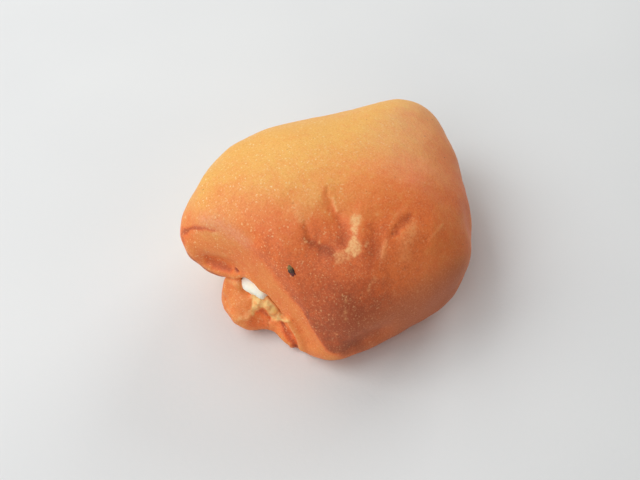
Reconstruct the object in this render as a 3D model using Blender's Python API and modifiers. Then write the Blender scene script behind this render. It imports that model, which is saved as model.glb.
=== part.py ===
"""A baked cheese bundle: a fist-sized pouch of yeast dough folded round white cheese.

The dough is one solid. Its upper layer is a high hood that narrows to the back. At the front
the hood ends in a blunt lip that lies over a lower lip, which is a round tongue and a thin
rolled edge, and the mouth between them runs back into a pocket. The cheese is a second solid
that fills the pocket and shows in the mouth. Metres, +Z up, the mouth faces -Y, and the flat
base rests on Z = 0.
"""

import math

import bmesh
import bpy
from mathutils import Vector, noise

MM = 0.001

# All sizes below are millimetres, measured from the middle of the hood. The shift puts the
# origin under the middle of the whole bundle.
SHIFT = Vector((-2.45, -6.4, 0))

# The hood: its height, and how far it reaches at its widest level, every 22.5 degrees from +X,
# anticlockwise seen from above.
HOOD_HEIGHT = 50
REACH = (45, 44, 43.5, 48.5, 55, 41, 36, 35.5, 39.5, 42.5, 49.5, 47, 45, 46, 43.5, 41.5)
# In the same directions: the height of the widest level, how square the shoulder above it is,
# and how full the underside below it is. The nose at the front left is undercut.
BULGE_HEIGHT = (19, 20, 20, 20, 21, 22, 22, 23, 23, 22, 22, 20, 13, 8, 11, 15)
SHOULDER = (2.2, 2.2, 2.1, 2.1, 2.1, 2.1, 2.1, 2.2, 2.3, 2.3, 2.3, 2.2, 2.05, 1.75, 1.85, 2.1)
BELLY = (2.8, 2.9, 3.0, 3.1, 3.2, 3.1, 3.0, 2.8, 2.5, 1.9, 1.4, 1.5, 2.1, 2.5, 2.6, 2.7)
# The underside is drawn this many bulge heights deep, so that the base cuts a flat through it.
BELLY_DEPTH = 1.2

# The blunt front face of the upper lip: where it stands, how it leans back above a height, how
# far it bulges, and how far the nose stands forward of it.
LIP_FACE_Y = -34.2
LIP_FACE_LEAN = 0.14
LIP_LEAN_FROM = 8
LIP_FACE_BULGE = 3.0
NOSE_X = -26
NOSE_WIDTH = 9
NOSE_FORWARD = 3.0

# Underside of the upper lip seen from the front, x and z, from its right foot to the nose.
LIP_EDGE = ((17, -3), (14.2, 4), (9, 10.5), (3, 15.5), (-2, 18.8), (-6.5, 21), (-9.5, 20.2), (-13, 17.8),
            (-18, 16), (-24, 15), (-29, 16), (-34, 19), (-40, 21), (-44, -3))
MOUTH_FRONT_Y = -70
MOUTH_BACK_Y = -29.5
# Past this x the undercut gets shallower, by this much for each millimetre sideways.
UNDERCUT_X = -25
UNDERCUT_SLANT = 0.4

# Local forms on the crown, x and y: start, end, half width, depth pressed in (negative raised).
CROWN_ABOVE = 30
CROWN_FORMS = {
    "left_crease": ((3.6, -11.5), (5.2, -14), 2.6, 1.1),
    "left_crease_foot": ((5.2, -14), (12, -15.2), 2.8, 1.0),
    "left_ridge": ((8, -11), (9.5, -13), 2.2, -0.4),
    "middle_hollow": ((11, -18.5), (14, -18), 6.0, 1.0),
    "front_crease": ((4.3, -22.5), (5.4, -24.2), 2.6, 0.8),
    "front_crease_foot": ((5.4, -24.2), (14, -23.8), 3.0, 1.2),
    "scar_head": ((14.9, -12.2), (16.8, -15.5), 2.2, -0.6),
    "scar_foot": ((17.2, -16.5), (17.6, -22), 2.2, -0.7),
    "right_hollow": ((21, -13), (21.5, -19), 5.5, 1.1),
    "right_crease": ((26.9, -3.5), (25.6, -9.5), 2.6, 1.3),
    "right_ridge": ((29.3, -5.5), (27.5, -12), 2.6, -0.5),
    "low_ridge": ((25.8, -13.2), (26.6, -16.8), 2.2, -0.4),
}

# The same on the lip face, x and z.
FACE_BEFORE = -24
FACE_FORMS = {
    "nose_hollow": ((-23, 22.5), (-13.5, 23), 3.4, 2.4),
    "nose_rim": ((-22, 18.5), (-13, 19.5), 2.2, -0.7),
    "nose_fold": ((-34, 27), (-22, 32), 1.8, 0.8),
}

# Lower lip: centre and radii of the balls of dough that make it up.
TONGUE = ((-11, -33.4, 7.4), (8.8, 9.0, 7.6))
TONGUE_TOE = ((-6.2, -36.0, 4.2), (5.6, 5.2, 4.6))
INNER_DOUGH = ((-3, -31.5, 9), (5, 4, 5))
INNER_DOUGH_END = ((5, -32.5, 6), (6.5, 3.2, 4.5))
# The rolled edge tapers from x, y, z, radius to x, y, z, radius.
ROLL_START = (-1, -35.0, 5.2, 3.0)
ROLL_END = (12.6, -36.3, 1.6, 1.5)
ROLL_BALLS = 8
ROLL_STRETCH = 1.5

# The cheese is a flat lens. Its front end shows under the lip.
CHEESE_CENTRE = (-7, -7.5, 15.8)
CHEESE_RADII = (20, 27.8, 8)
CHEESE_LUMP = 0.35
LUMPS_PER_RADIUS = 3.0
GAP = 0.3

GROUND_BLOCK = 200
LOWER_LIP_VOXEL = 0.7
DOUGH_VOXEL = 0.9
RELAX_FACTOR = 0.5
RELAX_ROUNDS = 3
DOUGH_TRIANGLES_KEPT = 0.135

# Colour, roughness.
CRUST = ((0.72, 0.27, 0.09, 1), 0.5)
CHEESE = ((0.93, 0.9, 0.68, 1), 0.6)


def clear_scene():
    for obj in list(bpy.data.objects):
        bpy.data.objects.remove(obj)


def collection(name):
    made = bpy.data.collections.new(name)
    bpy.context.scene.collection.children.link(made)
    return made


def around(values, angle):
    """A smooth closed curve through values that are spaced evenly round the bun."""
    step = angle / math.tau * len(values)
    first = math.floor(step)
    t = step - first
    a, b, c, d = (values[(first + k) % len(values)] for k in (-1, 0, 1, 2))
    return b + t / 2 * (c - a + t * (2 * a - 5 * b + 4 * c - d + t * (3 * (b - c) + d - a)))


def fade(distance, reach):
    """From 1 on a line to 0 at its reach, smooth at both."""
    t = min(1.0, distance / reach)
    return (1 - t * t) ** 2


def distance_to_line(point, start, end):
    along = end - start
    t = min(1.0, max(0.0, (point - start).dot(along) / along.length_squared))
    return (point - start - along * t).length


def hood_point(direction):
    """Where a direction from the middle of the hood meets its surface."""
    angle = math.atan2(direction.y, direction.x)
    rise = abs(direction.z)
    level = math.sqrt(max(0.0, 1 - rise * rise))
    bulge = around(BULGE_HEIGHT, angle)
    if direction.z > 0:
        power = 2 / around(SHOULDER, angle)
        height = bulge + (HOOD_HEIGHT - bulge) * rise**power
    else:
        power = 2 / around(BELLY, angle)
        height = bulge - BELLY_DEPTH * bulge * rise**power
    radius = around(REACH, angle) * level**power
    return Vector((radius * math.cos(angle), radius * math.sin(angle), height))


def flatten_lip(point):
    """Dough in front of the lip face is pushed back to it, with a slight bulge left."""
    face = LIP_FACE_Y + LIP_FACE_LEAN * max(0.0, point.z - LIP_LEAN_FROM)
    face -= NOSE_FORWARD * math.exp(-(((point.x - NOSE_X) / NOSE_WIDTH) ** 2))
    excess = face - point.y
    if excess > 0:
        point.y = face - LIP_FACE_BULGE * (1 - math.exp(-excess / LIP_FACE_BULGE))
    return point


def depth_of(forms, here):
    depth = 0.0
    for start, end, reach, pressed in forms.values():
        depth += pressed * fade(distance_to_line(here, Vector(start), Vector(end)), reach)
    return depth


def pressed_depth(point):
    """How far the local forms press the hood in at a point."""
    depth = 0.0
    if point.z > CROWN_ABOVE:
        depth += depth_of(CROWN_FORMS, Vector((point.x, point.y)))
    if point.y < FACE_BEFORE:
        depth += depth_of(FACE_FORMS, Vector((point.x, point.z)))
    return depth


def press_forms(mesh):
    mesh.normal_update()
    moves = [-pressed_depth(vert.co) * vert.normal for vert in mesh.verts]
    for vert, move in zip(mesh.verts, moves):
        vert.co += move


def add_ball(mesh, centre, radii):
    ball = bmesh.ops.create_icosphere(mesh, subdivisions=4, radius=1)
    for vert in ball["verts"]:
        vert.co = Vector(centre) + Vector(c * r for c, r in zip(vert.co, radii))


def to_object(mesh, name, group):
    """Turn a mesh in the hood's millimetres into an object in metres round the origin."""
    for vert in mesh.verts:
        vert.co = (vert.co + SHIFT) * MM
    data = bpy.data.meshes.new(name)
    mesh.to_mesh(data)
    mesh.free()
    obj = bpy.data.objects.new(name, data)
    group.objects.link(obj)
    return obj


def build_hood(group):
    mesh = bmesh.new()
    bmesh.ops.create_icosphere(mesh, subdivisions=6, radius=1)
    for vert in mesh.verts:
        vert.co = flatten_lip(hood_point(vert.co))
    press_forms(mesh)
    return to_object(mesh, "dough", group)


def build_lower_lip(group):
    mesh = bmesh.new()
    for centre, radii in (TONGUE, TONGUE_TOE, INNER_DOUGH, INNER_DOUGH_END):
        add_ball(mesh, centre, radii)
    for step in range(ROLL_BALLS):
        t = step / (ROLL_BALLS - 1)
        x, y, z, radius = (a + (b - a) * t for a, b in zip(ROLL_START, ROLL_END))
        add_ball(mesh, (x, y, z), (radius * ROLL_STRETCH, radius, radius))
    return to_object(mesh, "lower_lip", group)


def build_cheese(group, name, gap):
    """The cheese, or with a gap the pocket that holds it."""
    mesh = bmesh.new()
    bmesh.ops.create_icosphere(mesh, subdivisions=4, radius=1)
    for vert in mesh.verts:
        lump = CHEESE_LUMP * noise.noise(vert.co * LUMPS_PER_RADIUS)
        out = Vector(c * r for c, r in zip(vert.co, CHEESE_RADII))
        slope = Vector(c / r for c, r in zip(vert.co, CHEESE_RADII)).normalized()
        vert.co = Vector(CHEESE_CENTRE) + out + slope * (lump + gap)
    return to_object(mesh, name, group)


def build_mouth(group):
    """The space under the upper lip: the lip's edge drawn from the front, run back."""
    mesh = bmesh.new()
    face = mesh.faces.new([mesh.verts.new((x, MOUTH_FRONT_Y, z)) for x, z in LIP_EDGE])
    made = bmesh.ops.extrude_face_region(mesh, geom=[face])
    for item in made["geom"]:
        if isinstance(item, bmesh.types.BMVert):
            item.co.y = MOUTH_BACK_Y - UNDERCUT_SLANT * max(0.0, UNDERCUT_X - item.co.x)
    bmesh.ops.recalc_face_normals(mesh, faces=mesh.faces)
    return to_object(mesh, "mouth_cut", group)


def build_ground(group):
    """The block under the bundle. Its top cuts the flat base."""
    mesh = bmesh.new()
    bmesh.ops.create_cube(mesh, size=GROUND_BLOCK)
    for vert in mesh.verts:
        vert.co.z -= GROUND_BLOCK / 2
    return to_object(mesh, "ground_cut", group)


def boolean(obj, name, operand, operation):
    modifier = obj.modifiers.new(name, "BOOLEAN")
    modifier.operation = operation
    modifier.object = operand
    modifier.solver = "EXACT"


def voxel_skin(obj, name, size):
    modifier = obj.modifiers.new(name, "REMESH")
    modifier.mode = "VOXEL"
    modifier.voxel_size = size * MM


def relax(obj):
    modifier = obj.modifiers.new("relax", "SMOOTH")
    modifier.factor = RELAX_FACTOR
    modifier.iterations = RELAX_ROUNDS


def thin_out(obj, kept):
    modifier = obj.modifiers.new("thin out", "DECIMATE")
    modifier.ratio = kept


def paint(obj, colour, roughness):
    material = bpy.data.materials.new(obj.name)
    material.use_nodes = True
    shader = material.node_tree.nodes["Principled BSDF"]
    shader.inputs["Base Color"].default_value = colour
    shader.inputs["Roughness"].default_value = roughness
    shader.inputs["Metallic"].default_value = 0.0
    obj.data.materials.append(material)


def shape_dough(dough, mouth, lower_lip, pocket, ground):
    """Cut the mouth under the hood, grow the lower lip in it, then cut the pocket and base."""
    voxel_skin(lower_lip, "fuse", LOWER_LIP_VOXEL)
    boolean(dough, "mouth", mouth, "DIFFERENCE")
    boolean(dough, "lower lip", lower_lip, "UNION")
    voxel_skin(dough, "skin", DOUGH_VOXEL)
    relax(dough)
    thin_out(dough, DOUGH_TRIANGLES_KEPT)
    boolean(dough, "pocket", pocket, "DIFFERENCE")
    boolean(dough, "base", ground, "DIFFERENCE")


def main():
    clear_scene()
    bundle = collection("cheese_bundle")
    cutters = collection("cutters")
    dough = build_hood(bundle)
    cheese = build_cheese(bundle, "cheese_filling", 0)
    mouth = build_mouth(cutters)
    lower_lip = build_lower_lip(cutters)
    pocket = build_cheese(cutters, "pocket_cut", GAP)
    ground = build_ground(cutters)
    for cutter in cutters.objects:
        cutter.hide_render = True
        cutter.display_type = "WIRE"
    shape_dough(dough, mouth, lower_lip, pocket, ground)
    paint(dough, *CRUST)
    paint(cheese, *CHEESE)


main()
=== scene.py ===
import math

import bmesh
import bpy
import numpy as np
from mathutils import Matrix, Vector, noise
from mathutils.bvhtree import BVHTree


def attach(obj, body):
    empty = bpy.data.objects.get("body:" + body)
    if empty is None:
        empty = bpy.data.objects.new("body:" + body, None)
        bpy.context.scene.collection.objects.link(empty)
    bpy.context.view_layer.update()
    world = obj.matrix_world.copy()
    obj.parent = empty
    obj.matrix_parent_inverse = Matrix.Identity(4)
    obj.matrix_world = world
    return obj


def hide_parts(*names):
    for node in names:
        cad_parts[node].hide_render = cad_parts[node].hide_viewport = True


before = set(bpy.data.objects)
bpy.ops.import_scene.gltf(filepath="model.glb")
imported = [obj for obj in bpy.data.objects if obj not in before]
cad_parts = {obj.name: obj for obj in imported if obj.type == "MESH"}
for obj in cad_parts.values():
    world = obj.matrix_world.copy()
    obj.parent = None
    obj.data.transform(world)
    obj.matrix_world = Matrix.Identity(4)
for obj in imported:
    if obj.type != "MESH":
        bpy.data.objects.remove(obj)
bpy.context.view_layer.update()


# ---------------------------------------------------------------------------------------------
# The table: a plain pale sheet of matt board, a little cool in colour, that the pastry rests on.
# Soft daylight comes from windows at the left, in front and behind, and from the pale room.
# ---------------------------------------------------------------------------------------------
TABLE_HALF_WIDTH = 0.9
TABLE_PALE = (0.82, 0.835, 0.845, 1.0)
TABLE_SHADE = (0.78, 0.795, 0.81, 1.0)
# the size, in metres, of the board's soft shades and of its grain, and how deep the grain is
TABLE_DRIFT = 0.12
TABLE_GRAIN = 0.0016
TABLE_GRAIN_DEPTH = 0.00005
ROOM_COLOUR = (1.0, 0.98, 0.88, 1.0)
ROOM_STRENGTH = 0.15
WINDOW_COLOUR = (1.0, 1.0, 1.0)
WINDOW_DISTANCE = 0.9
# each window: its name, its bearing and height over the table in degrees, its size and power
WINDOWS = (
    ("left_window", 215, 50, 0.60, 4.0),
    ("front_window", 270, 40, 0.50, 2.3),
    ("back_window", 155, 50, 0.50, 1.5),
    ("far_window", 95, 28, 0.45, 2.5),
)


def add_object(name, mesh):
    """A new object at the origin, with its place in its mesh."""
    obj = bpy.data.objects.new(name, mesh)
    bpy.context.scene.collection.objects.link(obj)
    return obj


def new_material(name):
    """A material with its node tree, its surface shader and a Texture Coordinate node."""
    material = bpy.data.materials.new(name)
    material.use_nodes = True
    tree = material.node_tree
    shader = tree.nodes["Principled BSDF"]
    place = tree.nodes.new("ShaderNodeTexCoord").outputs["Object"]
    return material, tree, shader, place


def noise_map(tree, place, size, detail=2.0, roughness=0.5):
    """Soft procedural blotches about size metres across, as a value round 0.5."""
    blotches = tree.nodes.new("ShaderNodeTexNoise")
    blotches.inputs["Scale"].default_value = 1.0 / size
    blotches.inputs["Detail"].default_value = detail
    blotches.inputs["Roughness"].default_value = roughness
    tree.links.new(place, blotches.inputs["Vector"])
    return blotches.outputs["Fac"]


def ramp(tree, value, stops):
    """A colour ramp over value; each stop is (position, colour)."""
    band = tree.nodes.new("ShaderNodeValToRGB")
    band.color_ramp.elements[0].position = stops[0][0]
    band.color_ramp.elements[0].color = stops[0][1]
    band.color_ramp.elements[1].position = stops[-1][0]
    band.color_ramp.elements[1].color = stops[-1][1]
    for position, colour in stops[1:-1]:
        band.color_ramp.elements.new(position).color = colour
    tree.links.new(value, band.inputs["Fac"])
    return band.outputs["Color"]


def bumped(tree, shader, height, depth):
    """Fine surface relief of the given depth in metres, from a height value."""
    bump = tree.nodes.new("ShaderNodeBump")
    bump.inputs["Distance"].default_value = depth
    bump.inputs["Strength"].default_value = 1.0
    tree.links.new(height, bump.inputs["Height"])
    tree.links.new(bump.outputs["Normal"], shader.inputs["Normal"])


def table_material():
    material, tree, shader, place = new_material("pale_board")
    drift = noise_map(tree, place, TABLE_DRIFT, 2.0)
    grain = noise_map(tree, place, TABLE_GRAIN, 3.0, 0.6)
    colour = ramp(tree, drift, [(0.3, TABLE_SHADE), (0.7, TABLE_PALE)])
    tree.links.new(colour, shader.inputs["Base Color"])
    shader.inputs["Roughness"].default_value = 0.75
    shader.inputs["Specular IOR Level"].default_value = 0.25
    bumped(tree, shader, grain, TABLE_GRAIN_DEPTH)
    return material


table = bmesh.new()
bmesh.ops.create_grid(table, x_segments=12, y_segments=12, size=TABLE_HALF_WIDTH)
table_mesh = bpy.data.meshes.new("table_top")
table.to_mesh(table_mesh)
table.free()
table_mesh.materials.append(table_material())
table_top = add_object("table_top", table_mesh)


def aimed(obj, place, target):
    """Puts a light or camera at place, turned to look at target."""
    obj.location = place
    obj.rotation_mode = "QUATERNION"
    obj.rotation_quaternion = (Vector(target) - Vector(place)).to_track_quat("-Z", "Y")
    return obj


for name, bearing, height, size, power in WINDOWS:
    bearing, height = math.radians(bearing), math.radians(height)
    light = bpy.data.lights.new(name, "AREA")
    light.shape = "SQUARE"
    light.size = size
    light.energy = power
    light.color = WINDOW_COLOUR
    place = WINDOW_DISTANCE * Vector((
        math.cos(bearing) * math.cos(height),
        math.sin(bearing) * math.cos(height),
        math.sin(height),
    ))
    aimed(add_object(name, light), place, (0.0, 0.0, 0.0))

room = bpy.data.worlds.new("room")
room.use_nodes = True
room.node_tree.nodes["Background"].inputs["Color"].default_value = ROOM_COLOUR
room.node_tree.nodes["Background"].inputs["Strength"].default_value = ROOM_STRENGTH
bpy.context.scene.world = room
bpy.context.scene.view_settings.view_transform = "Standard"


# ---------------------------------------------------------------------------------------------
# The camera: a phone held above the table, looking down at the pastry from its front right.
# Its lens takes in about 48 degrees from side to side.
# ---------------------------------------------------------------------------------------------
VIEW_AZIMUTH = math.radians(35)
VIEW_ELEVATION = math.radians(52)
VIEW_DISTANCE = 0.22878
VIEW_TARGET = Vector((-0.00245, -0.01477, 0.0186))
LENS_LENGTH, SENSOR_WIDTH = 40, 36
NEAREST = 0.001

lens = bpy.data.cameras.new("phone")
lens.lens = LENS_LENGTH
lens.sensor_width = SENSOR_WIDTH
lens.clip_start = NEAREST
back = Vector((
    math.sin(VIEW_AZIMUTH) * math.cos(VIEW_ELEVATION),
    -math.cos(VIEW_AZIMUTH) * math.cos(VIEW_ELEVATION),
    math.sin(VIEW_ELEVATION),
))
phone = add_object("phone", lens)
aimed(phone, VIEW_TARGET + back * VIEW_DISTANCE, VIEW_TARGET)
bpy.context.scene.camera = phone


# ---------------------------------------------------------------------------------------------
# The crust: soft yeast dough folded round the filling and baked as one piece. Its top is proved
# smooth, browned unevenly, and pressed by a few fingertip creases; the lips of the fold are
# rounded, and the dough torn between them is pale crumb.
# ---------------------------------------------------------------------------------------------
MM = 0.001
CRUST_VOXEL = 0.8 * MM
SOFTEN_FACTOR = 0.5
EVEN_ROUNDS = 4
SOFTEN_ROUNDS = 11
FINISH_ROUNDS = 3
# the line of the lips, in mm, where the edge stays as crisp as it is, and how far that reaches
LIP_EDGE = ((-44, -43, 12, 3.5), (-20, -45, 15, 3.5), (-11, -43, 18, 3.5), (-4.5, -41.5, 23, 3.5),
            (1, -42, 20, 3.5), (7, -42, 15, 3.5), (13, -43, 8, 3.5), (15, -43, 0, 3.5))
# the part of the crown, in pixels of the camera's frame, that is evened before it gets its creases
CROWN_OUTLINE = ((276, 200), (292, 178), (322, 164), (370, 174), (408, 186), (431, 208), (432, 242),
                 (412, 262), (384, 275), (350, 276), (316, 272), (290, 258), (276, 230))
CROWN_EDGE = 1.0
CROWN_ROUNDS = 100
# how far it is lifted again after that, in mm, and over how many pixels the lift dies away
CROWN_LIFT, LIFT_EDGE = 0.28, 16.0
# where the skin is finest: round the creases of the crown, and over the lips and the mouth
CROWN_CENTRE = (12, -24, 40)
CROWN_REACH = 18
MOUTH_BEFORE_Y = -31
MOUTH_LEFT_OF_X = 20
# the skin's own unevenness: the size of its lumps in mm, and how much they rise
LUMPS = ((9.0, 0.22), (3.5, 0.09), (1.6, 0.035))
# how far, in mm, the edges of marks wander, and over what length; the seed keeps them the same
WANDER, WANDER_LENGTH = 0.45, 1.8
WANDER_SEED = 1
# the share of a mark below which it is left out
BARELY = 0.02

# Where the pastry swells a little beyond the smooth form, or falls short of it. Each is a path of
# pixels of the camera's frame, with the half width in mm at each, and a depth in mm (less than 0
# stands proud).
SWELLS = (
    ("left_shoulder", ((232, 153, 6), (217, 167, 7), (209, 178, 4)), -1.7),
    ("nose_side", ((187, 237, 4), (194, 252, 4)), -1.7),
    ("nose_top", ((187, 213, 4), (188, 217, 4)), 0.6),
    ("tongue_side", ((223, 301, 3.0), (225, 307, 2.6)), 1.3),
    ("tongue_cheek", ((225.5, 290, 1.8), (228.5, 281, 1.4)), -1.2),
    ("tongue_foot", ((239, 319, 3.0), (245, 322, 3.5)), -1.8),
    ("toe_hem", ((262, 325, 2.0), (267, 326, 2.0)), -0.6),
    ("roll_side", ((275, 331, 2.0), (281, 335, 2.0)), 0.4),
    ("lip_hem", ((290, 319, 1.3), (296, 329, 1.6), (301, 338, 1.8), (304, 345, 1.6)), -1.4),
    ("roll_toe", ((284, 336, 2.4), (290, 340, 2.4), (293, 343, 1.8)), -1.2),
    ("left_bank", ((324, 186, 3.4), (319, 202, 3.8), (310, 218, 4.0), (303, 228, 3.6)), -0.42),
    ("basin_lift", ((326, 200, 6.0), (330, 230, 6.0)), -0.45),
    ("lip_foot", ((310, 351, 4), (320, 353, 4)), -1.0),
    ("back_corner", ((452, 157, 8), (445, 142, 8), (428, 114, 8), (402, 104, 8)), -0.7),
    ("right_side", ((461, 186, 6), (465, 200, 6)), -0.7),
    ("right_side_notch", ((467, 211, 4), (468, 217, 4), (469, 227, 4)), 0.8),
    ("right_side_low", ((467, 246, 7), (466, 260, 8)), -0.8),
    ("back_left", ((231, 149, 4), (236, 146, 4)), 0.9),
    ("scar_shoulder", ((368, 236, 5), (372, 262, 5)), -0.35),
    ("low_right", ((362, 347, 5), (371, 343, 5), (381, 338, 5)), 2.8),
    ("right_low", ((440, 305, 5), (450, 297, 5), (459, 285, 5)), 0.7),
)
# Where it stands higher, on the same kind of paths: how far it is raised straight up, in mm.
RAISES = (
    ("tongue_top", ((229, 282, 1.6), (235, 282.5, 2.0), (241, 286, 1.6)), 2.9),
    ("tongue_top_right", ((237, 282, 1.2), (241, 284, 1.1)), 1.6),
    ("crumb_top", ((255, 297.5, 1.1), (261, 301, 1.5), (267, 302.5, 1.6), (273, 308.5, 1.5)), 3.5),
)
# The creases and ridges of its skin, given as the swells are.
CREASES = (
    ("left_crease", ((327, 187, 0.4), (328.5, 197, 1.0), (332.5, 208, 1.3), (338, 217, 1.5)), 0.27),
    ("basin_side", ((342, 223, 1.8), (345, 230, 2.2), (345, 239, 2.4)), 0.18),
    ("left_ridge", ((333, 198, 0.5), (335, 205, 0.6), (337.5, 211, 0.6)), -0.18),
    ("front_crease", ((305.5, 222, 0.6), (307, 231, 1.1), (309, 238, 1.0)), 0.20),
    ("front_crease_foot", ((311, 240.5, 1.0), (322, 245, 1.3), (335, 249.5, 1.3)), 0.30),
    ("basin_floor", ((323, 222, 2.8), (327, 234, 2.8)), -0.24),
    ("scar_bank", ((361, 213, 2.2), (361, 232, 2.5), (362, 250, 2.5)), -0.24),
    ("right_groove", ((374, 230, 2.2), (376, 242, 2.6), (375, 255, 2.2)), 0.20),
    ("front_bank", ((298, 208, 2.2), (301, 219, 2.2)), -0.08),
    ("right_crease", ((412, 217, 0.8), (406, 223, 1.6), (400, 229.5, 1.3), (394, 236, 0.7)), 0.14),
    ("right_bank", ((406, 211, 0.8), (398, 219, 1.0), (391, 227, 0.9)), -0.10),
    ("low_bank", ((410, 236, 2.2), (408, 256, 2.2)), -0.16),
    ("low_ridge", ((386, 241, 0.5), (383, 256, 0.7)), -0.13),
    ("far_wrinkle", ((430, 239, 0.5), (436, 232, 0.6), (442, 225, 0.5)), -0.12),
    ("far_wrinkle_groove", ((427, 240, 0.5), (433, 232, 0.6), (439, 225, 0.5)), 0.08),
    ("nose_fold", ((184, 234, 0.6), (190, 229.5, 0.7), (198, 227.5, 0.7), (211, 230, 0.7),
                   (222, 232, 0.5)), 0.15),
    ("nose_underlip", ((206, 266, 0.8), (216, 271, 0.8), (226, 274, 0.7)), -0.20),
    ("pinch_hole", ((236.2, 269, 0.5), (238, 271, 0.5)), 0.80),
    ("nose_hem", ((235, 275.5, 1.1), (239, 276, 1.1)), -0.40),
    ("lip_nick", ((308, 312, 0.4), (308.5, 318, 0.4)), 0.18),
    ("lip_ridge", ((262, 249, 2.6), (275, 259, 2.6), (287, 275, 2.4), (297, 290, 2.2),
                   (307, 310, 2.0), (316, 330, 2.0), (325, 346, 2.0)), -0.55),
    ("lip_valley", ((318, 291, 3.5), (326, 308, 3.5), (334, 325, 3.5), (340, 340, 3.5)), 0.45),
    ("lip_edge", ((249, 276.5, 1.4), (256, 282.5, 1.4), (263, 290, 1.1)), -0.75),
    ("tongue_corner", ((237, 284, 1.2), (240, 287, 1.1)), -0.90),
    ("crumb_swell", ((262, 303, 1.4), (268, 307, 1.8), (275, 312, 1.8), (281, 317, 1.2)), -1.20),
    ("tongue_rim", ((224.5, 299, 0.8), (229, 311, 0.9), (237, 319.5, 0.9), (246, 319, 0.8),
                    (252.5, 314, 0.7)), -0.35),
    ("tongue_dish", ((238, 297, 2.8), (243, 305, 2.8)), 0.35),
    ("toe_fold", ((252.5, 315, 0.6), (259, 309.5, 0.7), (265, 310.5, 0.8), (270, 318, 0.6)), 0.35),
    ("toe_notch", ((270, 317.5, 0.5), (269, 324, 0.6), (268, 329, 0.6)), 0.35),
    ("roll_groove", ((282, 323, 0.6), (286.5, 331.5, 1.0), (291, 339, 1.1), (297, 348.5, 0.9)),
     0.50),
)
# Dents with an outline of their own, in the same pixels: how soft the edge is, in pixels, and
# the depth in mm.
BASIN = ((324, 190), (329, 206), (337, 214), (344, 218), (350, 226), (350, 238), (345, 247),
         (333, 252), (319, 248), (309, 241), (304, 232), (305, 219), (313, 208))
RIGHT_HOLLOW = ((370, 221), (380, 219), (385, 228), (386, 241), (382, 254), (372, 258),
                (367, 247), (366, 233))
RIGHT_WEDGE = ((398, 217), (410, 212.5), (412.5, 217), (406, 226), (398, 234), (391, 238),
               (391.5, 231), (396, 224))
NOSE_HOLLOW = ((206, 256), (214, 257.5), (222, 260.5), (230, 265), (235, 269.5), (231, 272),
               (222, 271), (214, 268), (208, 262))
DENTS = ((BASIN, 5.0, 0.06), (RIGHT_HOLLOW, 6.0, 0.05), (RIGHT_WEDGE, 3.5, 0.15),
         (NOSE_HOLLOW, 3.5, 0.55))
# Torn crumb between the lips: its outline and the softness of its edge in pixels, the sizes of
# its crumbs in mm, and how rough they are.
TORN = ((251.5, 294.5), (258, 295.5), (264, 296.5), (268.5, 300), (274, 305), (280, 311),
        (285, 317), (288.5, 322), (284, 322), (278, 320), (272, 320.5), (269, 315), (267, 309.5),
        (262, 307), (258, 308.5), (256, 313), (252, 316), (250.5, 311), (252.5, 304), (251, 299))
TORN_EDGE = 2.0
TORN_CRUMBS = (1.9, 0.9)
TORN_ROUGHNESS = 0.50
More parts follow.
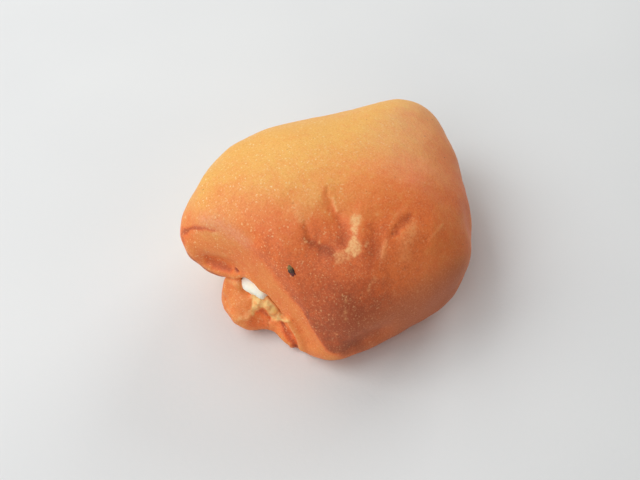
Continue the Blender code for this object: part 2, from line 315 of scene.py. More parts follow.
# Colour on the same paths and outlines: the layer, and the amount.
LINE_TINTS = (
    # the crown: pale lines that are painted highlight on the lit sides of its ridges and creases,
    # browner lines that are browning and painted shade down in the creases and hollows, faint dark
    # lines of painted shade in creases, and dark dots of scorched flour
    ("pale_and_highlight", ((333, 198, 0.45), (334.5, 204, 0.5), (336.5, 210.5, 0.4)), 0.55),
    ("pale_and_highlight", ((413.5, 221, 0.7), (412, 230, 1.8), (409, 241, 1.3)), 0.32),
    ("pale_and_highlight", ((386, 241, 0.7), (383, 256, 1.1)), 0.28),
    ("pale_and_highlight", ((392, 222, 0.5), (398.5, 214, 0.6), (406, 205, 0.5)), 0.16),
    ("pale_and_highlight", ((430, 239, 0.5), (436, 232, 0.5), (442, 224.5, 0.5)), 0.16),
    ("pale_and_highlight", ((440, 227, 0.4), (443, 224, 0.4)), 0.35),
    ("pale_and_highlight", ((297, 208, 1.8), (301, 219, 1.5)), 0.30),
    ("pale_and_highlight", ((312, 196, 2.6), (303, 208, 2.8)), 0.16),
    ("pale_and_highlight", ((406, 239, 1.8), (405, 256, 2.0)), 0.20),
    ("baked", ((323.5, 189, 0.7), (325, 199, 1.2), (328.5, 208, 1.3), (335, 216, 1.4)), 0.80),
    ("baked", ((338, 220, 1.9), (341, 231, 2.3), (341, 243, 2.1)), 1.00),
    ("baked", ((303, 226, 0.6), (303.5, 234, 1.1), (305.5, 240, 0.9)), 0.50),
    ("baked", ((308, 242, 0.9), (320, 247, 1.5), (331, 253, 1.7)), 1.15),
    ("baked", ((385, 230, 2.0), (388, 240, 1.5)), 0.60),
    ("baked", ((371, 242, 2.7), (374, 253, 2.9)), 0.60),
    ("baked", ((367, 226, 2.0), (378, 232, 2.4), (389, 233, 1.8)), 0.38),
    ("dark_and_shade", ((292, 203, 0.35),), 0.45),
    ("dark_and_shade", ((304, 226, 0.4), (304.5, 236, 0.5)), 0.15),
    ("dark_and_shade", ((393, 234.4, 0.35),), 0.45),
    ("dark_and_shade", ((395.8, 233.2, 0.35),), 0.35),
    ("dark_and_shade", ((407.5, 219, 0.6), (404, 223, 0.8)), 0.08),
    # the largest specks of flour
    ("pale_and_highlight", ((288, 211, 0.4),), 0.60),
    ("pale_and_highlight", ((377, 214, 0.4),), 0.50),
    ("pale_and_highlight", ((346, 197, 0.4),), 0.50),
    ("pale_and_highlight", ((305.6, 242, 0.4),), 0.50),
    ("pale_and_highlight", ((319.4, 242, 0.4),), 0.50),
    ("pale_and_highlight", ((366.7, 242, 0.35), (366.7, 246, 0.35)), 0.60),
    ("pale_and_highlight", ((345.6, 298, 0.3), (346, 301.5, 0.3)), 0.40),
    ("pale_and_highlight", ((345.2, 310, 0.25), (345.4, 320, 0.3)), 0.40),
    ("pale_and_highlight", ((336, 334, 0.45),), 0.45),
    ("pale_and_highlight", ((374.5, 279, 0.6), (371, 284, 0.5), (369, 291, 0.45)), 0.28),
    ("pale_and_highlight", ((393.5, 290, 0.3), (395, 294.5, 0.35)), 0.40),
    ("pale_and_highlight", ((417.5, 290.5, 0.35),), 0.50),
    # the nose: its fold, a painted sheen over its top, and painted shade down its left edge, along
    # its dark rim where it curves under, in its hollow and in the pinch hole
    ("pale_and_highlight", ((213, 232.5, 0.5), (219, 234, 0.4)), 0.55),
    ("painted_sheen", ((203, 219, 2.4), (216, 223, 3.0), (230, 230, 3.0), (244, 241, 2.4)), 0.42),
    ("dark_and_shade", ((190, 229, 0.6), (198, 227.3, 0.6), (207, 228.5, 0.6), (213, 230.3, 0.6)), 0.10),
    ("baked", ((184, 232, 1.0), (190, 229.3, 0.9), (198, 227.7, 0.8), (207, 228.8, 0.8),
               (214, 230.5, 0.6)), 1.60),
    ("baked", ((182, 229, 0.8), (182, 236, 0.8), (184, 243, 0.8)), 1.10),
    ("dark_and_shade", ((182.9, 246.4, 0.4), (189, 255.6, 0.5), (197.2, 263.6, 0.5), (203.3, 267.8, 0.5),
              (210.4, 272.2, 0.5), (217.4, 275.4, 0.5), (225.4, 277.2, 0.45)), 0.80),
    ("dark_and_shade", ((214, 262, 1.0), (219, 264.5, 1.5), (226, 267.5, 1.5), (230, 269, 0.8)), 0.30),
    ("dark_and_shade", ((236.2, 269, 0.5), (238, 271, 0.5)), 1.00),
    # the tongue, the torn crumb and the rolled edge: painted highlight on the tongue's rim and at
    # the start of the roll, and browning with painted shade under the tongue, in the fold of its
    # toe and in the groove beside the roll
    ("pale_and_highlight", ((230, 281, 0.8), (237, 283, 0.8)), 0.45),
    ("pale_and_highlight", ((239, 318.5, 0.6), (246, 317, 1.0), (251.5, 312.5, 0.9)), 0.60),
    ("pale_and_highlight", ((268.5, 322.5, 0.5), (269.5, 324, 0.5)), 0.60),
    ("pale_and_highlight", ((275, 316, 1.2), (281, 318, 0.9)), 0.50),
    ("green", ((273.5, 309.5, 0.7), (275, 311.5, 0.7)), 0.60),
    ("dark_and_shade", ((293, 345, 0.9), (297.5, 348, 0.8)), 0.60),
    ("baked", ((251, 323, 1.8), (257, 325, 2.0), (264, 324, 1.5)), 0.80),
    ("baked", ((257, 311, 0.8), (262, 311, 1.2), (267, 315, 1.0)), 0.90),
    ("baked", ((282, 323, 0.8), (286.5, 331.5, 1.2), (291, 339, 1.3), (297, 348.5, 1.2)), 1.30),
    # the upper lip: the nick in its face, and its foot, browner and darkened as painted shade near
    # the table
    ("dark_and_shade", ((308, 312, 0.4), (308.5, 318, 0.4)), 0.35),
    ("baked", ((336, 351, 1.8), (346, 353, 2.2), (358, 349, 2.4)), 1.60),
)
AREA_TINTS = (
    ("pale_and_highlight", ((351.5, 218), (354, 214), (357, 216), (360.5, 215), (360, 219), (360.5, 223),
              (357.5, 228), (355.5, 233), (355.8, 237), (359.5, 242), (360, 246), (361, 251),
              (358.5, 255), (354, 257.5), (350.5, 252.5), (347.5, 254), (345, 250.5),
              (348, 246.5), (349.5, 242), (353.2, 237), (353.8, 233), (351.2, 229), (351.3, 222)),
     2.0, 1.00),
    ("pale_and_highlight", ((345, 251), (350, 256), (350, 260), (343, 262.5), (335.5, 263.5), (334.5, 256),
              (337, 252)), 2.5, 0.40),
    # the hollows of the crown and the nose are browner; in the wedge and the nose hollow this is
    # also painted shade
    ("baked", BASIN, 4.0, 0.40),
    ("baked", RIGHT_WEDGE, 4.0, 0.70),
    ("baked", NOSE_HOLLOW, 4.0, 0.80),
    ("torn", TORN, 1.0, 1.00),
)
# How much the skin is baked, from 0 to 1; painted light and shade of creases, hollows, ridges and
# the low front right is added to it further on. It grows from the left to the right and the front,
# by this much, between these two lines, which slant by so much of y. Then comes more for each mm
# past a line at the front and at the back, which comes in between two places across. In mm.
BAKE_RIGHT, BAKE_FROM, BAKE_TO, BAKE_SLANT = 0.56, -15, 31, 0.4
BAKE_FRONT, FRONT_LINE, FRONT_FROM, FRONT_TO = 0.012, -20, -34, -4
BAKE_BACK, BACK_LINE, BACK_FROM, BACK_TO = 0.010, 12, -8, 8
# Below this line of the lip, as x, z and the softness of the edge in mm, the lip's face, which
# begins between these two places in y, is amber.
LIP_BREAK = ((-28, 31, 2.0), (-15, 33, 3.0), (-5, 32.5, 3.0), (1, 27.7, 1.8), (10, 22.2, 1.2),
             (20, 11, 1.2))
LIP_FACE = (-34, -38)
LIP_BAKE = 0.47
# How much the tint of browning and painted shade adds; and for the painted shade of hollows, how
# much a hollow adds for each mm and at most, with as much painted light taken off ridges.
TINT_BAKE = 0.25
HOLLOW_SHADE, HOLLOW_SHADE_MOST = 0.6, 0.12
# Patches baked less (below 0) or more than the rest, a few of them painted light and painted
# shade as marked below: centre in pixels, half width in mm, amount.
TONES = (
    ((222, 262), 4, 0.12), ((400, 112), 8, 0.10), ((216, 204), 10, 0.18), ((344, 316), 9, 0.16),
    ((376, 284), 6, 0.10), ((190, 225), 5, 0.18), ((187, 217), 7, 0.22), ((203, 234), 4, 0.14),
    ((268, 236), 9, 0.11), ((236, 186), 12, 0.05),
    # on this line, the patches at (362, 326) and (378, 322) are painted shade low at the front
    # right
    ((362, 326), 11, 0.16), ((378, 322), 9, 0.08), ((406, 192), 9, 0.06), ((428, 226), 6, 0.08),
    # on this line, the patch at (314, 200) is painted light on a lit slope of the crown
    ((208, 246), 5, -0.05), ((314, 200), 4, -0.07),
    # on this line, the patch at (342, 190) is painted light on the lit side of a crease
    ((326, 259), 6, 0.06), ((396, 250), 5, 0.08), ((342, 190), 4, -0.06),
)
# The tongue, which the upper lip kept from the heat, is paler than the lips.
TONGUE_TONE = ((244, 305), 6, -0.07)
# The base is browned by the tray below this band of heights. Low at the right, past these lines,
# which slant by so much of y, the skin turns a duller brown as painted shade on the side turned
# away from the light. In mm.
BASE_BAND = (1.2, 0.2)
SHADE_FROM, SHADE_TO, SHADE_SLANT = 40.5, 46, 0.45
# How much the grain of the skin shows: in the middle, and how much less for each mm to the right
# and to the back.
GRAIN_SHOWS, LESS_RIGHT, LESS_BACK = 0.57, 0.013, 0.007


def merged_copy(node, name):
    """A copy of a CAD node's mesh with its loose triangles joined."""
    shape = bmesh.new()
    shape.from_mesh(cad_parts[node].data)
    bmesh.ops.remove_doubles(shape, verts=shape.verts, dist=1e-6)
    mesh = bpy.data.meshes.new(name)
    shape.to_mesh(mesh)
    shape.free()
    return add_object(name, mesh)


def reskin(obj, voxel):
    """Wraps the piece in an even skin of small faces, as its new mesh."""
    skin = obj.modifiers.new("skin", "REMESH")
    skin.mode = "VOXEL"
    skin.voxel_size = voxel
    evaluated = obj.evaluated_get(bpy.context.evaluated_depsgraph_get())
    mesh = bpy.data.meshes.new_from_object(evaluated)
    obj.modifiers.clear()
    obj.data = mesh


def places(mesh):
    """The vertices of a mesh as an array, in mm."""
    flat = np.empty(len(mesh.vertices) * 3)
    mesh.vertices.foreach_get("co", flat)
    return flat.reshape(-1, 3) / MM


def put_places(mesh, points):
    mesh.vertices.foreach_set("co", (points * MM).ravel())
    mesh.update()


def normals(mesh):
    flat = np.empty(len(mesh.vertices) * 3)
    mesh.vertices.foreach_get("normal", flat)
    return flat.reshape(-1, 3)


def soft_step(low, high, value):
    """0 at low, 1 at high, smooth between."""
    t = np.clip((value - low) / (high - low), 0.0, 1.0)
    return t * t * (3.0 - 2.0 * t)


def along(points, path):
    """1 on the path, falling away smoothly over the half width that the path has there."""
    covered = np.zeros(len(points))
    for start, end in zip(path, path[1:]):
        start, run = np.array(start, float), np.subtract(end, start)
        reach = run[:3]
        share = np.clip((points - start[:3]) @ reach / max(reach @ reach, 1e-9), 0.0, 1.0)
        gap = np.linalg.norm(points - start[:3] - share[:, None] * reach, axis=1)
        covered = np.maximum(covered, np.exp(-(gap / (start[3] + share * run[3])) ** 2))
    return covered


def patch(points, centre, radii):
    """1 at centre and falling away smoothly over the radii."""
    return np.exp(-(((points - np.array(centre)) / np.array(radii)) ** 2).sum(axis=1))


def soften(mesh, rounds, held):
    """Evens the surface, apart from the vertices that are held."""
    shape = bmesh.new()
    shape.from_mesh(mesh)
    free = [vertex for vertex, stays in zip(shape.verts, held) if not stays]
    for _ in range(rounds):
        bmesh.ops.smooth_vert(shape, verts=free, factor=SOFTEN_FACTOR, use_axis_x=True,
                              use_axis_y=True, use_axis_z=True)
    shape.to_mesh(mesh)
    shape.free()


def refine(mesh, chosen):
    """Cuts the faces in two each way where the vertices are chosen."""
    shape = bmesh.new()
    shape.from_mesh(mesh)
    shape.verts.ensure_lookup_table()
    edges = [e for e in shape.edges if chosen[e.verts[0].index] and chosen[e.verts[1].index]]
    bmesh.ops.subdivide_edges(shape, edges=edges, cuts=1, use_grid_fill=True)
    shape.to_mesh(mesh)
    shape.free()


# the camera's frame in pixels, half its width at one metre, how many pixels apart a path is
# followed, and how far a surface has to be turned to the camera to count as fully turned
FRAME_PIXELS = (640, 480)
HALF_VIEW = lens.sensor_width / 2 / lens.lens
PATH_STEP = 2.0
FULLY_TURNED = 0.3


def surface_of(mesh):
    shape = bmesh.new()
    shape.from_mesh(mesh)
    tree = BVHTree.FromBMesh(shape)
    shape.free()
    return tree


def on_surface(tree, path):
    """The places, in mm, that the camera sees along a path of pixels, each with its width."""
    seen = []
    for start, end in zip(path, path[1:] or path[:1]):
        steps = max(1, int(math.dist(start[:2], end[:2]) / PATH_STEP))
        for i in range(steps + 1):
            u, v, width = (a + (b - a) * i / steps for a, b in zip(start, end))
            across = (2 * u / FRAME_PIXELS[0] - 1) * HALF_VIEW
            down = (2 * v - FRAME_PIXELS[1]) / FRAME_PIXELS[0] * HALF_VIEW
            ray = phone.rotation_quaternion @ Vector((across, -down, -1))
            hit = tree.ray_cast(phone.location, ray.normalized())[0]
            if hit is not None:
                seen.append((*(hit / MM), width))
    return seen


def pixels_of(points):
    """Where each point stands in the camera's frame, in pixels."""
    turn = np.array(phone.rotation_quaternion.to_matrix())
    x, y, z = ((points * MM - np.array(phone.location)) @ turn).T
    scale = FRAME_PIXELS[0] / 2 / HALF_VIEW
    across, down = FRAME_PIXELS[0] / 2 - x / z * scale, FRAME_PIXELS[1] / 2 + y / z * scale
    return np.column_stack((across, down))


def facing(mesh, points):
    """1 where the surface is turned to the camera, 0 where it is turned away."""
    to_camera = np.array(phone.location) / MM - points
    to_camera /= np.linalg.norm(to_camera, axis=1)[:, None]
    return soft_step(0.0, FULLY_TURNED, (normals(mesh) * to_camera).sum(axis=1))


def inside(pixels, outline, softness):
    """1 well inside an outline of pixels and 0 well outside, smooth over softness pixels."""
    gap = np.full(len(pixels), 1e9)
    within = np.zeros(len(pixels), bool)
    for start, end in zip(outline, outline[1:] + outline[:1]):
        start, run = np.array(start, float), np.subtract(end, start)
        share = np.clip((pixels - start) @ run / (run @ run), 0.0, 1.0)
        gap = np.minimum(gap, np.linalg.norm(pixels - start - share[:, None] * run, axis=1))
        crossed = (pixels[:, 1] >= start[1]) != (pixels[:, 1] >= end[1])
        edge_x = start[0] + (pixels[:, 1] - start[1]) * run[0] / (run[1] or 1)
        within ^= crossed & (pixels[:, 0] < edge_x)
    return soft_step(-softness, softness, np.where(within, gap, -gap))


def wandering(points):
    """The points shifted a little by soft noise, which makes the edges of marks uneven."""
    drift = [noise.noise_vector(Vector(point) / WANDER_LENGTH) for point in points]
    return points + WANDER * np.array(drift)


noise.seed_set(WANDER_SEED)
crust = merged_copy("dough", "crust")
reskin(crust, CRUST_VOXEL)
points = places(crust.data)
soften(crust.data, EVEN_ROUNDS, np.zeros(len(points)))
soften(crust.data, SOFTEN_ROUNDS, along(points, LIP_EDGE) > 0.5)

points = places(crust.data)
on_crown = inside(pixels_of(points), CROWN_OUTLINE, CROWN_EDGE) * facing(crust.data, points)
soften(crust.data, CROWN_ROUNDS, on_crown < 0.5)
points = places(crust.data)
lift = CROWN_LIFT * inside(pixels_of(points), CROWN_OUTLINE, LIFT_EDGE)
lift *= facing(crust.data, points)
put_places(crust.data, points + lift[:, None] * normals(crust.data))

points = places(crust.data)
near_crown = np.linalg.norm(points - np.array(CROWN_CENTRE), axis=1) < CROWN_REACH
near_mouth = (points[:, 1] < MOUTH_BEFORE_Y) & (points[:, 0] < MOUTH_LEFT_OF_X)
refine(crust.data, near_crown | near_mouth)
points = places(crust.data)
soften(crust.data, FINISH_ROUNDS, np.zeros(len(points)))

skin = surface_of(crust.data)
points = places(crust.data)
depth = sum(deep * along(points, on_surface(skin, path)) for name, path, deep in SWELLS)
points -= depth[:, None] * normals(crust.data)
put_places(crust.data, points)
skin = surface_of(crust.data)
points[:, 2] += sum(up * along(points, on_surface(skin, path)) for name, path, up in RAISES)
put_places(crust.data, points)

skin = surface_of(crust.data)
points = places(crust.data)
loose = wandering(points)
seen_at = pixels_of(loose)
turned = facing(crust.data, points)
depth = sum(deep * along(loose, on_surface(skin, path)) for name, path, deep in CREASES)
for outline, softness, deep in DENTS:
    depth += deep * turned * inside(seen_at, outline, softness)
torn = turned * inside(seen_at, TORN, TORN_EDGE)
for i in range(len(points)):
    depth[i] += sum(rise * noise.noise(Vector(points[i]) / size) for size, rise in LUMPS)
    if torn[i] > BARELY:
        rough = sum(noise.noise(Vector(points[i]) / size) * size for size in TORN_CRUMBS)
        depth[i] += TORN_ROUGHNESS * torn[i] * rough
put_places(crust.data, points - depth[:, None] * normals(crust.data))

points = places(crust.data)
points[:, 2] = np.maximum(points[:, 2], 0.0)
put_places(crust.data, points)

# how far each hollow lies under the smooth form round it, in mm (ridges are less than 0)
CAVITY_ROUNDS = 10
smooth = crust.data.copy()
soften(smooth, CAVITY_ROUNDS, np.zeros(len(points)))
cavity = ((places(smooth) - points) * normals(smooth)).sum(axis=1)
bpy.data.meshes.remove(smooth)

x, y, z = points.T
skin = surface_of(crust.data)


def toned(points, tone):
    """How much more a patch of the skin is baked, painted shade and painted light included."""
    (u, v), width, amount = tone
    return amount * patch(points, on_surface(skin, ((u, v, width),))[0][:3], (width,) * 3)


bake = BAKE_RIGHT * soft_step(BAKE_FROM, BAKE_TO, x - BAKE_SLANT * y)
bake += BAKE_FRONT * np.maximum(0.0, FRONT_LINE - y) * soft_step(FRONT_FROM, FRONT_TO, x)
bake += BAKE_BACK * np.maximum(0.0, y - BACK_LINE) * soft_step(BACK_FROM, BACK_TO, x)
for tone in TONES:
    bake += toned(points, tone)
break_x, break_z, break_softness = zip(*LIP_BREAK)
softness = np.interp(x, break_x, break_softness)
under_break = soft_step(softness, -softness, z - np.interp(x, break_x, break_z))
lip_face = soft_step(*LIP_FACE, y) * under_break
bake += (LIP_BAKE - bake) * lip_face
bake += toned(points, TONGUE_TONE)
# painted shade: hollows are browned more for each mm they lie under the smooth form, and ridges
# less, as painted light
bake += np.clip(HOLLOW_SHADE * cavity, -HOLLOW_SHADE_MOST, HOLLOW_SHADE_MOST)


def put_values(mesh, name, values):
    """Keeps one number a vertex on the mesh, for the material."""
    layer = mesh.attributes.new(name, "FLOAT", "POINT")
    layer.data.foreach_set("value", np.clip(values, 0.0, 1.0).astype(np.float32))


loose = wandering(points)
seen_at = pixels_of(loose)
turned = facing(crust.data, points)
# tint layers: pale marks with painted highlight, dark marks with painted shade, torn crumb,
# browning with painted shade, painted sheen, and a green spot
layers = ("pale_and_highlight", "dark_and_shade", "torn", "baked", "painted_sheen", "green")
tints = {layer: np.zeros(len(points)) for layer in layers}
for layer, path, amount in LINE_TINTS:
    tints[layer] = np.maximum(tints[layer], amount * along(loose, on_surface(skin, path)))
for layer, outline, softness, amount in AREA_TINTS:
    tints[layer] = np.maximum(tints[layer], amount * turned * inside(seen_at, outline, softness))
# the browning tint, which is also painted shade in creases and hollows, goes into the bake
bake += TINT_BAKE * tints.pop("baked")
for layer, values in tints.items():
    put_values(crust.data, layer, values)
put_values(crust.data, "bake", bake)
put_values(crust.data, "under", soft_step(*BASE_BAND, z))
# painted shade: how far the skin turns a duller brown low at the right, away from the light
put_values(crust.data, "side", soft_step(SHADE_FROM, SHADE_TO, x - SHADE_SLANT * y))
put_values(crust.data, "grain", GRAIN_SHOWS - LESS_RIGHT * x - LESS_BACK * y)


def between(tree, value, low, high, to_low=0.0, to_high=1.0):
    """Value from low..high stretched to to_low..to_high and held there."""
    stretch = tree.nodes.new("ShaderNodeMapRange")
    stretch.interpolation_type = "SMOOTHSTEP"
    for socket, number in zip(stretch.inputs[1:5], (low, high, to_low, to_high)):
        socket.default_value = number
    tree.links.new(value, stretch.inputs["Value"])
    return stretch.outputs["Result"]


def combined(tree, first, second, operation="ADD", clamp=False):
    """Two values added, or multiplied; the second may be a number."""
    maths = tree.nodes.new("ShaderNodeMath")
    maths.operation = operation
    maths.use_clamp = clamp
    tree.links.new(first, maths.inputs[0])
    if isinstance(second, (int, float)):
        maths.inputs[1].default_value = second
    else:
        tree.links.new(second, maths.inputs[1])
    return maths.outputs["Value"]


def mixed(tree, amount, first, second, blend="MIX"):
    """Colour first turning into colour second by amount; each may be a plain colour."""
    mix = tree.nodes.new("ShaderNodeMix")
    mix.data_type = "RGBA"
    mix.blend_type = blend
    colour_a, colour_b = [s for s in mix.inputs if s.type == "RGBA"]
    for socket, colour in ((colour_a, first), (colour_b, second)):
        if isinstance(colour, tuple):
            socket.default_value = colour
        else:
            tree.links.new(colour, socket)
    if isinstance(amount, (int, float)):
        mix.inputs["Factor"].default_value = amount
    else:
        tree.links.new(amount, mix.inputs["Factor"])
    return [s for s in mix.outputs if s.type == "RGBA"][0]


def value_of(tree, name):
    """The number that the mesh keeps under that name."""
    kept = tree.nodes.new("ShaderNodeAttribute")
    kept.attribute_name = name
    return kept.outputs["Fac"]


# the part of a grain's radius within which it has its full strength
GRAIN_CORE = 0.35


def grains(tree, place, spacing, radius, share):
    """Small grains of uneven strength, spacing apart on average; share of the cells hold one."""
    cells = tree.nodes.new("ShaderNodeTexVoronoi")
    cells.inputs["Scale"].default_value = 1.0 / spacing
    tree.links.new(place, cells.inputs["Vector"])
    inner = between(tree, cells.outputs["Distance"], radius, radius * GRAIN_CORE)
    chance = tree.nodes.new("ShaderNodeSeparateColor")
    tree.links.new(cells.outputs["Color"], chance.inputs["Color"])
    kept = between(tree, chance.outputs["Red"], 1.0 - share, 1.0)
    return combined(tree, inner, kept, "MULTIPLY")


# the specks of pale flour and fat in the skin: how far apart they are, in metres, their radius as a
# part of that, the share of places that hold one, and how strong they are
SPECKS = ((0.0008, 0.40, 0.5, 0.68), (0.0013, 0.30, 0.4, 0.80), (0.0024, 0.17, 0.25, 0.75))
# the small dark dots of scorched flour, in the same way
DOTS = (0.0040, 0.09, 0.3, 0.75)
# the sizes, in metres, of the skin's blotches, freckles, grain and finest grain, of the torn
# crumb's shades and of the pores, and how deep the pores are
BLOTCH, FRECKLE, GRAIN, FINE_GRAIN = 0.009, 0.0026, 0.0007, 0.00045
CRUMB_SHADE = 0.0016
PORE, PORE_DEPTH = 0.0009, 0.00016
# how far noise pushes the specks out of round, in metres
RAGGED = 0.0011
# the browning from palest to darkest, and the other colours of the dough
GOLDEN = (0.92, 0.48, 0.115, 1.0)
AMBER = (0.91, 0.30, 0.075, 1.0)
RUSSET = (0.88, 0.195, 0.048, 1.0)
CHESTNUT = (0.64, 0.125, 0.036, 1.0)
# the darkest stop: deep browning, also used as painted shade low at the front right
DEEP_BROWN_AND_SHADE = (0.42, 0.085, 0.030, 1.0)
# a duller brown, used as painted shade low at the right side
PAINTED_SHADE_BROWN = (0.60, 0.150, 0.050, 1.0)
UMBER = (0.30, 0.055, 0.025, 1.0)
# pale dough, which also serves as painted highlight on lit ridges and rims
PALE_DOUGH_AND_HIGHLIGHT = (1.0, 0.52, 0.21, 1.0)
# a pink painted sheen, light glancing off the top of the nose
PINK_PAINTED_SHEEN = (0.96, 0.40, 0.25, 1.0)
CRUMB_CREAM = (1.0, 0.64, 0.25, 1.0)
CRUMB_TAN = (1.0, 0.43, 0.14, 1.0)
CRUMB_GREEN = (0.78, 0.56, 0.14, 1.0)
SPECK = (1.0, 0.61, 0.29, 1.0)
PALE_SPECK = (1.0, 0.80, 0.46, 1.0)
BASE_BROWN = (0.42, 0.17, 0.050, 1.0)


def shaken(tree, place, size, amount):
    """Coordinates pushed about by noise of that size, which makes round marks ragged."""
    push = tree.nodes.new("ShaderNodeTexNoise")
    push.inputs["Scale"].default_value = 1.0 / size
    tree.links.new(place, push.inputs["Vector"])
    centred = tree.nodes.new("ShaderNodeVectorMath")
    centred.operation = "SUBTRACT"
    centred.inputs[1].default_value = (0.5, 0.5, 0.5)
    tree.links.new(push.outputs["Color"], centred.inputs[0])
    moved = tree.nodes.new("ShaderNodeVectorMath")
    moved.operation = "MULTIPLY_ADD"
    moved.inputs[1].default_value = (amount, amount, amount)
    tree.links.new(centred.outputs["Vector"], moved.inputs[0])
    tree.links.new(place, moved.inputs[2])
    return moved.outputs["Vector"]


def crust_material():
    material, tree, shader, place = new_material("baked_crust")
    blotch = between(tree, noise_map(tree, place, BLOTCH, 4.0, 0.6), 0.3, 0.7, -0.05, 0.05)
    grain = noise_map(tree, place, GRAIN, 3.0, 0.65)
    mottle = between(tree, grain, 0.3, 0.7, 0.04, -0.04)
    freckle = between(tree, noise_map(tree, place, FRECKLE, 3.0, 0.7), 0.3, 0.7, 0.05, -0.05)
    baked = combined(tree, combined(tree, value_of(tree, "bake"), blotch), mottle)
    baked = combined(tree, baked, freckle)
    # the browning ramp; its darkest stop is also painted shade low at the front right
    colour = ramp(tree, baked, [
        (0.0, GOLDEN), (0.35, AMBER), (0.60, RUSSET), (0.80, CHESTNUT), (1.0, DEEP_BROWN_AND_SHADE)])
    # painted shade: the duller brown low at the right side
    colour = mixed(tree, value_of(tree, "side"), colour, PAINTED_SHADE_BROWN)
    uneven = between(tree, grain, 0.35, 0.65, 0.45, 1.35)
    # pale marks of the dough, and painted highlight on the lit ridges of the crown and the rims of
    # the tongue
    pale_and_highlight = combined(tree, value_of(tree, "pale_and_highlight"), uneven, "MULTIPLY", clamp=True)
    colour = mixed(tree, pale_and_highlight, colour, PALE_DOUGH_AND_HIGHLIGHT)
    # painted sheen over the top of the nose
    painted_sheen = combined(tree, value_of(tree, "painted_sheen"), uneven, "MULTIPLY", clamp=True)
    colour = mixed(tree, painted_sheen, colour, PINK_PAINTED_SHEEN)
    fat = mixed(tree, between(tree, value_of(tree, "bake"), 0.1, 0.45), PALE_SPECK, SPECK)
    fine = noise_map(tree, place, FINE_GRAIN, 2.0, 0.7)
    colour = mixed(tree, between(tree, fine, 0.5, 0.75, 0.0, 0.26), colour, fat)
    colour = mixed(tree, between(tree, fine, 0.5, 0.25, 0.0, 0.20), colour, UMBER)
    ragged = shaken(tree, place, GRAIN, RAGGED)
    for spacing, radius, share, strength in SPECKS:
        specks = combined(tree, grains(tree, ragged, spacing, radius, share), strength, "MULTIPLY")
        specks = combined(tree, specks, value_of(tree, "grain"), "MULTIPLY", clamp=True)
        colour = mixed(tree, specks, colour, fat)
    crumb = ramp(tree, noise_map(tree, place, CRUMB_SHADE, 4.0, 0.65),
                 [(0.38, CRUMB_TAN), (0.55, CRUMB_CREAM)])
    crumb = mixed(tree, value_of(tree, "green"), crumb, CRUMB_GREEN)
    colour = mixed(tree, value_of(tree, "torn"), colour, crumb)
    # dark marks, and painted shade along the nose's rim, in its hollow and pinch hole and in
    # creases of the crown
    colour = mixed(tree, value_of(tree, "dark_and_shade"), colour, UMBER)
    spacing, radius, share, strength = DOTS
    dots = combined(tree, grains(tree, place, spacing, radius, share), strength, "MULTIPLY")
    colour = mixed(tree, dots, colour, UMBER)
    colour = mixed(tree, value_of(tree, "under"), colour, BASE_BROWN)
    tree.links.new(colour, shader.inputs["Base Color"])
    shader.inputs["Roughness"].default_value = 0.5
    shader.inputs["Specular IOR Level"].default_value = 0.3
    bumped(tree, shader, noise_map(tree, place, PORE, 4.0, 0.65), PORE_DEPTH)
    return material


for face in crust.data.polygons:
    face.use_smooth = True
crust.data.materials.clear()
crust.data.materials.append(crust_material())
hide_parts("dough")
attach(crust, "root")


# ---------------------------------------------------------------------------------------------
# The filling: fresh white cheese, crumbled into curds and folded in before baking. It fills the
# pocket of the dough and shows as a bright strip between the two lips.
# ---------------------------------------------------------------------------------------------
CURD_VOXEL = 0.8 * MM
# the sizes of the curds in mm, how deep the creases between them are, and how soon they are full
CURD_SIZES = ((2.6, 0.42), (1.2, 0.16))
CURD_FULL = 1.2
# where the lips are open, from the left in x and from the right, and where the front begins in y;
# how far it swells out there, and how much deeper it lies to both sides, in mm
OPEN_LEFT, OPEN_RIGHT = (-14.5, -13.8), (-3.9, -5.2)
CHEESE_FRONT = (-34, -40)
CHEESE_SWELLS = 1.2
CHEESE_SINKS = 2.0
CHEESE_WHITE = (1.0, 1.0, 0.88, 1.0)
CHEESE_CREAM = (1.0, 1.0, 0.74, 1.0)
# the size, in metres, of its shades and of its fine crumbs, and how deep the crumbs are
CHEESE_SHADE = 0.003
CHEESE_CRUMB, CHEESE_CRUMB_DEPTH = 0.0008, 0.0001

cheese = merged_copy("cheese_filling", "cheese_curds")
reskin(cheese, CURD_VOXEL)


def curd_height(point):
    """Rounded curds with creases between them, in mm, never proud of the smooth form."""
    height = 0.0
    for size, rise in CURD_SIZES:
        gap = noise.voronoi(Vector(point) / size)[0]
        height -= rise * min(1.0, gap[0] * CURD_FULL)
    return height


curds = places(cheese.data)
lift = np.array([curd_height(point) for point in curds])
curds += lift[:, None] * normals(cheese.data)
open_here = soft_step(*OPEN_LEFT, curds[:, 0]) * soft_step(*OPEN_RIGHT, curds[:, 0])
shift = CHEESE_SINKS - (CHEESE_SINKS + CHEESE_SWELLS) * open_here
curds[:, 1] += shift * soft_step(*CHEESE_FRONT, curds[:, 1])
put_places(cheese.data, curds)


def cheese_material():
    material, tree, shader, place = new_material("white_cheese")
    curd = noise_map(tree, place, CHEESE_SHADE, 3.0, 0.6)
    colour = ramp(tree, curd, [(0.35, CHEESE_CREAM), (0.6, CHEESE_WHITE)])
    tree.links.new(colour, shader.inputs["Base Color"])
    shader.inputs["Roughness"].default_value = 0.55
    shader.inputs["Subsurface Weight"].default_value = 0.05
    shader.inputs["Subsurface Radius"].default_value = (1.0, 0.9, 0.6)
    shader.inputs["Subsurface Scale"].default_value = 0.002
    crumbs = noise_map(tree, place, CHEESE_CRUMB, 3.0, 0.6)
    bumped(tree, shader, crumbs, CHEESE_CRUMB_DEPTH)
    return material


for face in cheese.data.polygons:
    face.use_smooth = True
cheese.data.materials.clear()
cheese.data.materials.append(cheese_material())
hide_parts("cheese_filling")
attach(cheese, "root")


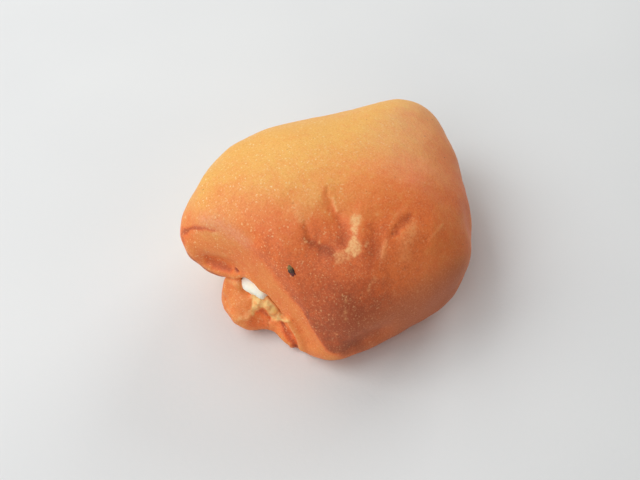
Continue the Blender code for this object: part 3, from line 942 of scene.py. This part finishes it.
# ---------------------------------------------------------------------------------------------
# The burnt crumb: a grain of dough that charred on the upper lip in the oven. It is a small
# lump about 3 mm long, half sunk in the crust.
# ---------------------------------------------------------------------------------------------
CRUMB_PLACE = Vector((4.55, -38.8, 34.8)) * MM
CRUMB_RADII = (0.9, 1.6, 0.55)
CRUMB_TURN = math.radians(35)
# its lumps: how many to a radius, and how much they rise as a part of it
CRUMB_LUMPS = ((1.7, 0.34), (4.5, 0.16))
CHAR_BLACK = (0.085, 0.052, 0.042, 1.0)
# a greenish beige painted highlight at one end of the crumb
CHAR_PAINTED_HIGHLIGHT = (0.27, 0.19, 0.07, 1.0)
CHAR_BROWN = (0.22, 0.052, 0.048, 1.0)
# the size, in metres, of its shades and of its pits, and how deep the pits are
CHAR_SHADE = 0.0008
CHAR_PIT, CHAR_PIT_DEPTH = 0.0004, 0.00005

spot, spot_normal, _, _ = surface_of(crust.data).find_nearest(CRUMB_PLACE)
shape = bmesh.new()
bmesh.ops.create_icosphere(shape, subdivisions=4, radius=1.0)
ends = []
for vertex in shape.verts:
    ends.append(0.5 + 0.5 * vertex.co.y)
    rough = 1.0
    for often, rise in CRUMB_LUMPS:
        rough += rise * noise.noise(vertex.co * often)
    vertex.co = Vector(a * b * rough * MM for a, b in zip(vertex.co, CRUMB_RADII))
seat = spot_normal.to_track_quat("Z", "Y").to_matrix().to_4x4()
bmesh.ops.transform(
    shape, verts=shape.verts,
    matrix=Matrix.Translation(spot) @ seat @ Matrix.Rotation(CRUMB_TURN, 4, "Z"))
crumb_mesh = bpy.data.meshes.new("burnt_crumb")
shape.to_mesh(crumb_mesh)
shape.free()
put_values(crumb_mesh, "end", np.array(ends))


def crumb_material():
    material, tree, shader, place = new_material("charred_dough")
    patches = between(tree, noise_map(tree, place, CHAR_SHADE, 2.0), 0.3, 0.7, -0.25, 0.25)
    patches = combined(tree, value_of(tree, "end"), patches)
    # from brown at one end through black to the painted highlight at the other
    colour = ramp(tree, patches, [
        (0.15, CHAR_BROWN), (0.35, CHAR_BLACK), (0.6, CHAR_BLACK), (0.85, CHAR_PAINTED_HIGHLIGHT)])
    tree.links.new(colour, shader.inputs["Base Color"])
    shader.inputs["Roughness"].default_value = 0.6
    shader.inputs["Specular IOR Level"].default_value = 0.2
    bumped(tree, shader, noise_map(tree, place, CHAR_PIT, 3.0), CHAR_PIT_DEPTH)
    return material


for face in crumb_mesh.polygons:
    face.use_smooth = True
crumb_mesh.materials.append(crumb_material())
crumb = add_object("burnt_crumb", crumb_mesh)
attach(crumb, "root")
